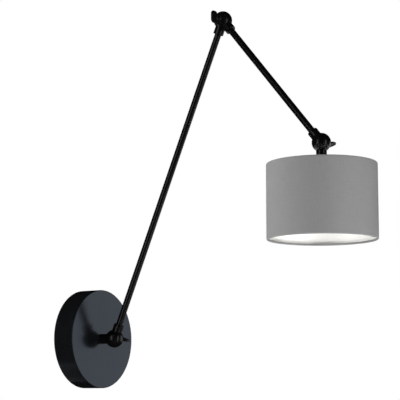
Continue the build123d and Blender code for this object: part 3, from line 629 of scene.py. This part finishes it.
@dataclass
class Canopy(SubAssembly):
    """Canopy cover, wall bracket, nipple and wiring. Sizes are in millimetres."""

    thread_pitch: float = 1.0
    thread_depth: float = 0.55
    nipple_bore: float = 4.0
    core_radius: float = 1.1
    strand_radius: float = 0.65
    strand_length: float = 3.2
    sheath_radius: float = 3.2
    sheath_overhang: float = 3.0
    crimp_radius: float = 1.75
    crimp_length: float = 5.5

    def make_pieces(self) -> None:
        """Make the threaded nipple, the sheath's end, the three cores and the earth lead's crimp."""
        self.make_nipple()
        self.make_sheath_end()
        self.make_cores()

    def make_nipple(self) -> None:
        """Cut a real thread on the nipple through the canopy's face."""
        low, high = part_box("canopy_nipple")
        radius, length = (high.x - low.x) / 2, high.y - low.y
        bm = threaded(radius, radius - self.thread_depth * MM, self.thread_pitch * MM, length)
        add_bore(bm, self.nipple_bore * MM, length, 32)
        bmesh.ops.rotate(bm, verts=bm.verts, cent=(0, 0, 0), matrix=Matrix.Rotation(-math.pi / 2, 3, "X"))
        bmesh.ops.translate(bm, verts=bm.verts, vec=(0, low.y, 0))
        self.finish_piece("threaded_nipple", bm, ZINC_PLATE, ["canopy_nipple"])

    def make_sheath_end(self) -> None:
        """End of the flex's sheath, just out of the nipple and cut back from its cores."""
        low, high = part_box("canopy_nipple")
        length = high.y - low.y + self.sheath_overhang * MM
        bm = bmesh.new()
        bmesh.ops.create_cone(
            bm, cap_ends=True, segments=32, radius1=self.sheath_radius * MM, radius2=self.sheath_radius * MM,
            depth=length, matrix=Matrix.Translation((0, low.y + length / 2, 0)) @ Matrix.Rotation(math.pi / 2, 4, "X"),
        )
        rims = [edge for edge in bm.edges if edge.calc_face_angle(0) > math.radians(self.soft_angle)]
        bmesh.ops.bevel(
            bm, geom=rims, offset=0.4 * MM, offset_type="OFFSET", affect="EDGES", segments=3, profile=0.5,
            material=-1,
        )
        self.finish_piece("flex_sheath_end", bm, SHEATH)

    def make_cores(self) -> None:
        """Two cores up into the terminals and one down to the earth screw, with their bare ends."""
        low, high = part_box("canopy_leads")
        inserts_low, inserts_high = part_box("terminal_inserts")
        terminal_y = (inserts_low.y + inserts_high.y) / 2
        nipple_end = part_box("canopy_nipple")[1].y
        pole = high.x - self.core_radius * MM
        spread = 1.6 * MM
        turn_y = terminal_y - 8 * MM
        for side, finish, name in ((-1, BROWN_CORE, "brown_core"), (1, BLUE_CORE, "blue_core")):
            route = [
                Vector((side * spread, nipple_end - 4 * MM, spread / 2)),
                Vector((side * spread, nipple_end + 4 * MM, spread / 2)),
                Vector((side * spread * 1.6, turn_y, spread)),
                Vector((side * pole * 0.75, terminal_y - 1.5 * MM, 3 * MM)),
                Vector((side * pole, terminal_y, 8 * MM)),
                Vector((side * pole, terminal_y, high.z - 3 * MM)),
                Vector((side * pole, terminal_y, high.z)),
            ]
            self.finish_piece(
                name, from_mesh(tube_along(route, self.core_radius * MM)), finish,
                ["canopy_leads"] if side < 0 else [],
            )
            end = route[-1]
            self.make_strand(f"{name}_bare_end", end, end + Vector((0, 0, self.strand_length * MM)))
        plate_y = high.y - self.core_radius * MM
        route = [
            Vector((0, nipple_end - 4 * MM, -spread)),
            Vector((0, nipple_end + 4 * MM, -spread)),
            Vector((0, turn_y, -1.2 * spread)),
            Vector((0, terminal_y * 0.6, -5 * MM)),
            Vector((0, plate_y, -9 * MM)),
            Vector((0, plate_y, low.z + 6 * MM)),
            Vector((0, plate_y, low.z + 3 * MM)),
        ]
        self.finish_piece("earth_core", from_mesh(tube_along(route, self.core_radius * MM)), EARTH_CORE)
        self.make_crimp(Vector((0, plate_y, low.z)))

    def make_strand(self, name: str, start: Vector, end: Vector) -> None:
        """A bare copper end between two points."""
        steps = 4
        route = [start.lerp(end, i / steps) for i in range(steps + 1)]
        self.finish_piece(name, from_mesh(tube_along(route, self.strand_radius * MM, 3)), COPPER)

    def make_crimp(self, end: Vector) -> None:
        """Tinned barrel squeezed on the earth core, just above the earth screw's washer."""
        bm = bmesh.new()
        radius, length = self.crimp_radius * MM, self.crimp_length * MM
        bmesh.ops.create_cone(
            bm, cap_ends=False, segments=24, radius1=radius, radius2=radius, depth=length,
            matrix=Matrix.Translation((end.x, end.y, end.z + length / 2)),
        )
        bmesh.ops.subdivide_edges(
            bm, edges=[e for e in bm.edges if abs(e.verts[0].co.z - e.verts[1].co.z) > length / 2], cuts=6
        )
        for vert in bm.verts:
            squeeze = 1 - 0.3 * math.exp(-(((vert.co.z - end.z - length / 2) / (length / 5)) ** 2))
            vert.co.x *= squeeze
            vert.co.y = min(end.y + (vert.co.y - end.y) * squeeze, -1.55 * MM)
        bmesh.ops.solidify(bm, geom=bm.faces[:], thickness=0.3 * MM)
        self.finish_piece("earth_crimp", bm, NICKEL_PLATE)


@dataclass
class LampHolder(SubAssembly):
    """Small screw lamp holder below the head knuckle. Sizes are in millimetres."""

    body: Body = Body.LAMP_HEAD
    shell_pitch: float = 2.82
    shell_depth: float = 0.75
    shell_wall: float = 0.35
    skirt_pitch: float = 2.5
    skirt_ridge: float = 0.45

    def make_pieces(self) -> None:
        """Roll the screw shell and cut the skirt's thread."""
        self.make_shell()
        self.make_skirt_thread()

    def make_shell(self) -> None:
        """Thin shell with the rolled, rounded thread that takes the lamp's cap."""
        low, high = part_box("screw_shell")
        centre = middle("screw_shell")
        radius = (high.x - low.x) / 2
        bm = threaded(radius, radius - self.shell_depth * MM, self.shell_pitch * MM, high.z - low.z, 40)
        bmesh.ops.recalc_face_normals(bm, faces=bm.faces)
        bmesh.ops.solidify(bm, geom=bm.faces[:], thickness=self.shell_wall * MM)
        bmesh.ops.translate(bm, verts=bm.verts, vec=(centre.x, centre.y, low.z))
        self.finish_piece("rolled_screw_shell", bm, NICKEL_PLATE, ["screw_shell"])

    def make_skirt_thread(self) -> None:
        """Ridge wound round the skirt, for the ring nut."""
        nut_low, nut_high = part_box("ring_nut")
        skirt_low, skirt_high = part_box("holder_skirt")
        centre = middle("holder_skirt")
        outside = 14.0 * MM
        ridge, pitch, steps = self.skirt_ridge * MM, self.skirt_pitch * MM, 36
        start, end = skirt_low.z + pitch / 2, nut_high.z - pitch / 2
        turns = int((end - start) / pitch)
        bm = bmesh.new()
        section = ((outside - ridge, -ridge), (outside + ridge, -ridge / 3), (outside + ridge, ridge / 3), (outside - ridge, ridge))
        ring = [bm.verts.new((radius, 0, start + height)) for radius, height in section]
        face = bm.faces.new(ring)
        bmesh.ops.spin(
            bm, geom=ring + face.edges[:] + [face], cent=(0, 0, 0), axis=(0, 0, 1), dvec=(0, 0, pitch / steps),
            angle=turns * FULL_TURN, steps=turns * steps, use_merge=False, use_duplicate=False,
        )
        bmesh.ops.translate(bm, verts=bm.verts, vec=(centre.x, centre.y, 0))
        self.finish_piece("skirt_thread", bm, BLACK_PLASTIC)


@dataclass
class Shade(SubAssembly):
    """Drum shade. Sizes are in millimetres."""

    body: Body = Body.LAMP_HEAD
    cloth: float = 0.5
    hem_radius: float = 1.65
    hem_depth: float = 3.0
    columns: int = 126
    rows: int = 30
    seam_width: float = 9.0
    seam_bearing: float = 62.0
    pucker: float = 0.12
    weld_radius: float = 1.7
    spokes: int = 3

    def make_pieces(self) -> None:
        """Make the cloth cover with its lap seam, and the brazed ends of the spokes."""
        cover = self.make_cover()
        seam = self.make_lap_seam()
        self.make_welds()

    @property
    def centre(self) -> Vector:
        """The middle of the shade."""
        return middle("shade_fabric")

    @property
    def radius(self) -> float:
        """The shade's outer radius, in metres."""
        low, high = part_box("shade_fabric")
        return (high.x - low.x) / 2

    @property
    def height(self) -> float:
        """The shade's height, in metres."""
        low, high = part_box("shade_fabric")
        return high.z - low.z

    def make_cover(self) -> bpy.types.Object:
        """Cloth drum with both edges turned in over the rings, and a notch at each spoke."""
        outer, half = self.radius, self.height / 2
        inner, depth, fold = outer - 2 * self.hem_radius * MM, self.hem_depth * MM, self.hem_radius * MM
        bm = bmesh.new()
        corners = ((inner, depth - half), (inner, -half), (outer, -half), (outer, half), (inner, half), (inner, half - depth))
        line = [bm.verts.new((radius, 0, height)) for radius, height in corners]
        edges = [bm.edges.new(pair) for pair in zip(line, line[1:])]
        bmesh.ops.bevel(
            bm, geom=line[1:5], offset=fold * 0.995, offset_type="OFFSET", affect="VERTICES", segments=5,
            profile=0.5, material=-1,
        )
        wall = max(bm.edges, key=lambda edge: edge.calc_length())
        bmesh.ops.subdivide_edges(bm, edges=[wall], cuts=self.rows)
        step = FULL_TURN / self.columns
        bmesh.ops.rotate(bm, verts=bm.verts, cent=(0, 0, 0), matrix=Matrix.Rotation(math.pi / 2 + step / 2, 3, "Z"))
        bmesh.ops.spin(
            bm, geom=bm.verts[:] + bm.edges[:], cent=(0, 0, 0), axis=(0, 0, 1), dvec=(0, 0, 0), angle=FULL_TURN,
            steps=self.columns, use_merge=True, use_duplicate=False,
        )
        bmesh.ops.recalc_face_normals(bm, faces=bm.faces)
        self.notch(bm, half - depth * 1.1)
        self.ruffle(bm, half)
        bmesh.ops.solidify(bm, geom=bm.faces[:], thickness=self.cloth * MM)
        bmesh.ops.translate(bm, verts=bm.verts, vec=self.centre)
        self.unroll(bm)
        return self.finish_piece("shade_cover", bm, SHADE_COTTON, ["shade_fabric"])

    def notch(self, bm: bmesh.types.BMesh, lowest: float) -> None:
        """Cut the turned-in hem away at each spoke."""
        step = FULL_TURN / self.columns
        cut = []
        for face in bm.faces:
            place = face.calc_center_median()
            bearing = math.atan2(place.y, place.x) - math.pi / 2
            near = abs((bearing * self.spokes / FULL_TURN + 0.5) % 1 - 0.5) * FULL_TURN / self.spokes < step / 2
            if near and place.z > lowest and place.xy.length < self.radius - self.hem_radius * MM:
                cut.append(face)
        bmesh.ops.delete(bm, geom=cut, context="FACES")

    def ruffle(self, bm: bmesh.types.BMesh, half: float) -> None:
        """Push the cloth in and out a hair's breadth near the hems, as glue and folds leave it."""
        for vert in bm.verts:
            edge = math.exp(-(half - abs(vert.co.z)) / (6 * MM))
            wave = noise.noise(Vector((vert.co.x, vert.co.y, vert.co.z / 3)) / (7 * MM))
            vert.co.xy *= 1 + self.pucker * MM * edge * (wave - 0.5) / vert.co.xy.length

    def unroll(self, bm: bmesh.types.BMesh) -> None:
        """Give every corner its place on the flat cloth, in metres, from its bearing and its height."""
        flat = bm.loops.layers.uv.verify()
        centre, radius = self.centre, self.radius
        for face in bm.faces:
            out = face.calc_center_median() - centre
            middle_bearing = math.atan2(out.y, out.x)
            for loop in face.loops:
                away = loop.vert.co - centre
                turn = math.atan2(away.y, away.x) - middle_bearing
                turn = (turn + math.pi) % FULL_TURN - math.pi
                along = (middle_bearing + turn) * radius
                loop[flat].uv = (along, away.z + radius - away.xy.length)

    def make_lap_seam(self) -> bpy.types.Object:
        """The cloth's overlapped end, a narrow strip from hem to hem on the side away from the room."""
        outer, half = self.radius, self.height / 2 - self.hem_radius * MM
        turn = self.seam_width * MM / outer
        thickness = self.cloth * MM
        outline = ((outer - thickness / 4, -half), (outer + thickness, -half), (outer + thickness, half), (outer - thickness / 4, half))
        bm = turned(outline, 6, closed=True, turn=turn)
        bmesh.ops.holes_fill(bm, edges=open_rims(bm), sides=4)
        ends = [e for e in bm.edges if e.is_manifold and e.calc_face_angle(0) > math.pi / 3]
        outside = [e for e in ends if all(v.co.xy.length > outer for v in e.verts)]
        bmesh.ops.bevel(
            bm, geom=outside, offset=thickness * 0.6, offset_type="OFFSET", affect="EDGES", segments=3, profile=0.5,
            material=-1,
        )
        bmesh.ops.rotate(
            bm, verts=bm.verts, cent=(0, 0, 0), matrix=Matrix.Rotation(math.radians(self.seam_bearing), 3, "Z")
        )
        bmesh.ops.translate(bm, verts=bm.verts, vec=self.centre)
        self.unroll(bm)
        return self.finish_piece("shade_lap_seam", bm, SHADE_COTTON)

    def make_welds(self) -> None:
        """Small brazed beads where each spoke meets the top ring and the middle ring."""
        low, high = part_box("shade_carrier")
        ring_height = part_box("shade_fabric")[1].z - self.hem_radius * MM
        bm = bmesh.new()
        for i in range(self.spokes):
            bearing = math.pi / 2 + i * FULL_TURN / self.spokes
            out = Vector((math.cos(bearing), math.sin(bearing), 0))
            for reach, height in ((77.0 * MM, ring_height), (21.0 * MM, low.z + 0.8 * MM)):
                place = Vector((self.centre.x, self.centre.y, 0)) + out * reach + Vector((0, 0, height))
                spread = Matrix.Diagonal((1.0, 1.0, 0.8, 1.0))
                bmesh.ops.create_icosphere(
                    bm, subdivisions=3, radius=self.weld_radius * MM, matrix=Matrix.Translation(place) @ spread
                )
        self.finish_piece("spoke_beads", bm, EPOXY_WIRE)


# ---------------------------------------------------------------- studio


@dataclass(frozen=True)
class Softbox:
    """A soft lamp at a bearing from the camera's side of the object, positive to the right.

    The lamps that light matt cloth stand behind crossed polarisers, so that gloss doesn't mirror
    them, and the strips that gloss mirrors are too dim to light anything.
    """

    name: str
    bearing: float
    height: float
    distance: float
    width: float
    tall: float
    watts: float
    lights: Lights = Lights.MATT


@dataclass(frozen=True)
class DarkCyclorama:
    """A curved dark cloth round the object, seen by gloss alone, as black products are shot.

    It spans the bearings that are given, from its lowest angle to the top.
    """

    name: str = "dark_cyclorama"
    from_bearing: float = 0.0
    to_bearing: float = 360.0
    radius: float = 2.7
    lowest: float = -89.0
    steps: int = 48
    rows: int = 12


@dataclass
class Studio:
    """Camera, lamps, flags, floor and backdrop. Lengths are in metres and angles in degrees."""

    azimuth: float = -56.34
    elevation: float = -8.07
    eye: Vector = field(default_factory=lambda: Vector((-1.7359, -1.3742, -0.0902)))
    lens_mm: float = 125.1
    sensor_mm: float = 36.0
    aim: Vector = field(default_factory=lambda: Vector((0.0, -0.25, 0.24)))
    floor_height: float = -1.15
    floor_size: float = 14.0
    floor_glow: float = 0.55
    ambient: float = 0.04
    softboxes: tuple[Softbox, ...] = (
        Softbox("left_key", -93.0, 0.3, 1.5, 0.6, 1.6, 44.0),
        Softbox("right_key", 56.0, 0.3, 1.5, 0.6, 1.6, 13.0),
        Softbox("top_front", 3.0, 1.5, 1.3, 0.7, 0.7, 18.0),
        Softbox("low_front", 30.0, -1.1, 0.5, 1.3, 1.1, 48.0),
        Softbox("left_strip", -44.0, 0.25, 1.5, 0.3, 1.4, 3.2, Lights.GLOSS),
        Softbox("right_strip", 50.0, -0.1, 1.5, 0.3, 1.8, 3.6, Lights.GLOSS),
        Softbox("wall_side", -123.66, -0.8, 1.5, 1.2, 0.8, 2.3, Lights.GLOSS),
        Softbox("canopy_card", 121.2, 0.04, 0.79, 0.6, 0.7, 1.45, Lights.GLOSS),
    )
    cyclorama: DarkCyclorama = DarkCyclorama()

    def build(self) -> None:
        """Set up everything that isn't the lamp."""
        self.make_camera()
        self.make_world()
        self.make_floor()
        for box in self.softboxes:
            self.make_softbox(box)
        self.make_cyclorama(self.cyclorama)
        view = bpy.context.scene.view_settings
        view.view_transform = "Standard"

    def back(self, bearing: float = 0.0) -> Vector:
        """Level direction from the lamp towards the camera, turned by a bearing to the right."""
        turn = math.radians(self.azimuth + bearing)
        return Vector((math.sin(turn), -math.cos(turn), 0))

    def make_camera(self) -> None:
        """Put the camera where the photograph was taken from."""
        data = bpy.data.cameras.new("camera")
        data.lens = self.lens_mm
        data.sensor_width = self.sensor_mm
        camera = bpy.data.objects.new("camera", data)
        bpy.context.scene.collection.objects.link(camera)
        rise = math.radians(self.elevation)
        towards = self.back() * math.cos(rise) + Vector((0, 0, math.sin(rise)))
        camera.rotation_mode = "QUATERNION"
        camera.rotation_quaternion = (-towards).to_track_quat("-Z", "Y")
        camera.location = self.eye
        bpy.context.scene.camera = camera

    def make_world(self) -> None:
        """White where the camera, a reflection or glass looks past the lamp, and a soft light elsewhere."""
        world = bpy.data.worlds.new("studio")
        world.use_nodes = True
        tree = world.node_tree
        tree.nodes.clear()
        path = add_node(tree, "ShaderNodeLightPath")
        into = [(0, path.outputs["Is Camera Ray"]), (1, path.outputs["Is Glossy Ray"])]
        seen = add_node(tree, "ShaderNodeMath", {"operation": "MAXIMUM"}, into=into)
        into = [(0, seen.outputs[0]), (1, path.outputs["Is Transmission Ray"])]
        any_seen = add_node(tree, "ShaderNodeMath", {"operation": "MAXIMUM"}, into=into)
        soft = add_node(tree, "ShaderNodeBackground", {"Color": linear("#ffffff"), "Strength": self.ambient})
        white = add_node(tree, "ShaderNodeBackground", {"Color": linear("#ffffff"), "Strength": 1.0})
        into = [(0, any_seen.outputs[0]), (1, soft.outputs[0]), (2, white.outputs[0])]
        mixed = add_node(tree, "ShaderNodeMixShader", into=into)
        add_node(tree, "ShaderNodeOutputWorld", into=[("Surface", mixed.outputs[0])])
        bpy.context.scene.world = world

    def make_floor(self) -> None:
        """Plain pale floor, well below the lamp and evenly lit from within, as a light table is."""
        bm = bmesh.new()
        bmesh.ops.create_grid(
            bm, x_segments=1, y_segments=1, size=self.floor_size / 2,
            matrix=Matrix.Translation((0, 0, self.floor_height)),
        )
        paper = self.stage_material("pale_floor", "#f1f0ee", 0.7)
        shader = paper.node_tree.nodes["Principled BSDF"]
        shader.inputs["Emission Color"].default_value = linear("#ffffff")
        shader.inputs["Emission Strength"].default_value = self.floor_glow
        floor = self.stage_piece("floor", bm, paper)
        floor.visible_glossy = False
        floor.visible_diffuse = False

    def make_softbox(self, box: Softbox) -> None:
        """One soft lamp, aimed at the middle of the lamp that is shown."""
        data = bpy.data.lights.new(box.name, "AREA")
        data.shape = "RECTANGLE"
        data.size = box.width
        data.size_y = box.tall
        data.energy = box.watts
        light = bpy.data.objects.new(box.name, data)
        light.location = Vector((self.aim.x, self.aim.y, box.height)) + self.back(box.bearing) * box.distance
        light.rotation_mode = "QUATERNION"
        light.rotation_quaternion = (self.aim - light.location).to_track_quat("-Z", "Y")
        light.visible_camera = False
        light.visible_glossy = box.lights is Lights.GLOSS
        light.visible_diffuse = box.lights is Lights.MATT
        bpy.context.scene.collection.objects.link(light)

    def make_cyclorama(self, cloth: DarkCyclorama) -> None:
        """Dark cloth that only gloss sees, so that black paint looks black."""
        bm = bmesh.new()
        rises = [math.radians(cloth.lowest + (89 - cloth.lowest) * i / cloth.rows) for i in range(cloth.rows + 1)]
        start = self.back(cloth.from_bearing)
        line = [bm.verts.new(start * math.cos(r) * cloth.radius + Vector((0, 0, math.sin(r) * cloth.radius))) for r in rises]
        edges = [bm.edges.new(pair) for pair in zip(line, line[1:])]
        bmesh.ops.spin(
            bm, geom=line + edges, cent=(0, 0, 0), axis=(0, 0, 1), dvec=(0, 0, 0), steps=cloth.steps,
            angle=math.radians(cloth.to_bearing - cloth.from_bearing), use_merge=False, use_duplicate=False,
        )
        bmesh.ops.translate(bm, verts=bm.verts, vec=(self.aim.x, self.aim.y, 0.1))
        card = self.stage_piece(cloth.name, bm, self.stage_material("black_velvet", "#050505", 0.95))
        card.visible_camera = False
        card.visible_diffuse = False
        card.visible_shadow = False

    def stage_material(self, name: str, colour: str, roughness: float) -> bpy.types.Material:
        """Plain paper or card with a faint tooth."""
        made = bpy.data.materials.get(name)
        return made or Finish(name, Slot.WHITE_LINING, colour, roughness, grain_mm=3.0, mottling=0.02).material()

    def stage_piece(self, name: str, bm: bmesh.types.BMesh, material: bpy.types.Material) -> bpy.types.Object:
        """Turn a bmesh into an object that isn't part of the lamp."""
        mesh = bpy.data.meshes.new(name)
        bm.to_mesh(mesh)
        bm.free()
        mesh.materials.append(material)
        piece = bpy.data.objects.new(name, mesh)
        bpy.context.scene.collection.objects.link(piece)
        return piece


# ---------------------------------------------------------------- the whole lamp


def knuckle_finishes(name: str) -> dict[str, Finish]:
    """The finishes of one ball knuckle's pieces."""
    return {
        f"{name}_fixed_half": KNUCKLE_COAT,
        f"{name}_moving_half": KNUCKLE_COAT,
        f"{name}_friction_washer": NICKEL_PLATE,
        f"{name}_spring_washer": ZINC_PLATE,
        f"{name}_thumb_screw": THUMB_COAT,
    }


def main() -> None:
    """Build the lamp's looks, one sub-assembly after another, and the studio."""
    logging.basicConfig(level=logging.INFO, format="%(name)s: %(message)s")
    canopy = Canopy(
        finishes={
            "canopy_cover": CANOPY_COAT,
            "wall_bracket": ZINC_PLATE,
            "cover_nuts": ZINC_PLATE,
            "cover_grub_screws": CANOPY_COAT,
            "nipple_washer": ZINC_PLATE,
            "nipple_nut": ZINC_PLATE,
            "terminal_block": NYLON,
            "terminal_inserts": TURNED_BRASS,
            "terminal_screws": ZINC_PLATE,
            "block_screw": ZINC_PLATE,
            "earth_screw": TURNED_BRASS,
            "earth_washer": TURNED_BRASS,
        }
    )
    knuckles = [SubAssembly(finishes=knuckle_finishes(name)) for name in ("base", "elbow", "head")]
    arms = SubAssembly(
        finishes={
            "arm_1_tube": TUBE_COAT_1,
            "arm_1_flex": SHEATH,
            "arm_2_tube": TUBE_COAT_2,
            "arm_2_flex": SHEATH,
        }
    )
    holder = LampHolder(
        finishes={
            "holder_nipple": ZINC_PLATE,
            "holder_cap": KNUCKLE_COAT,
            "holder_skirt": BLACK_PLASTIC,
            "holder_insulator": PORCELAIN,
            "holder_screws": ZINC_PLATE,
            "centre_contact": TURNED_BRASS,
            "ring_nut": BLACK_PLASTIC,
        }
    )
    shade = Shade(
        finishes={
            "shade_lining": STYRENE,
            "shade_carrier": EPOXY_WIRE,
            "shade_bottom_ring": EPOXY_WIRE,
        }
    )
    for part in (canopy, *knuckles, arms, holder, shade):
        part.build()
    Studio().build()


if __name__ == "__main__":
    main()
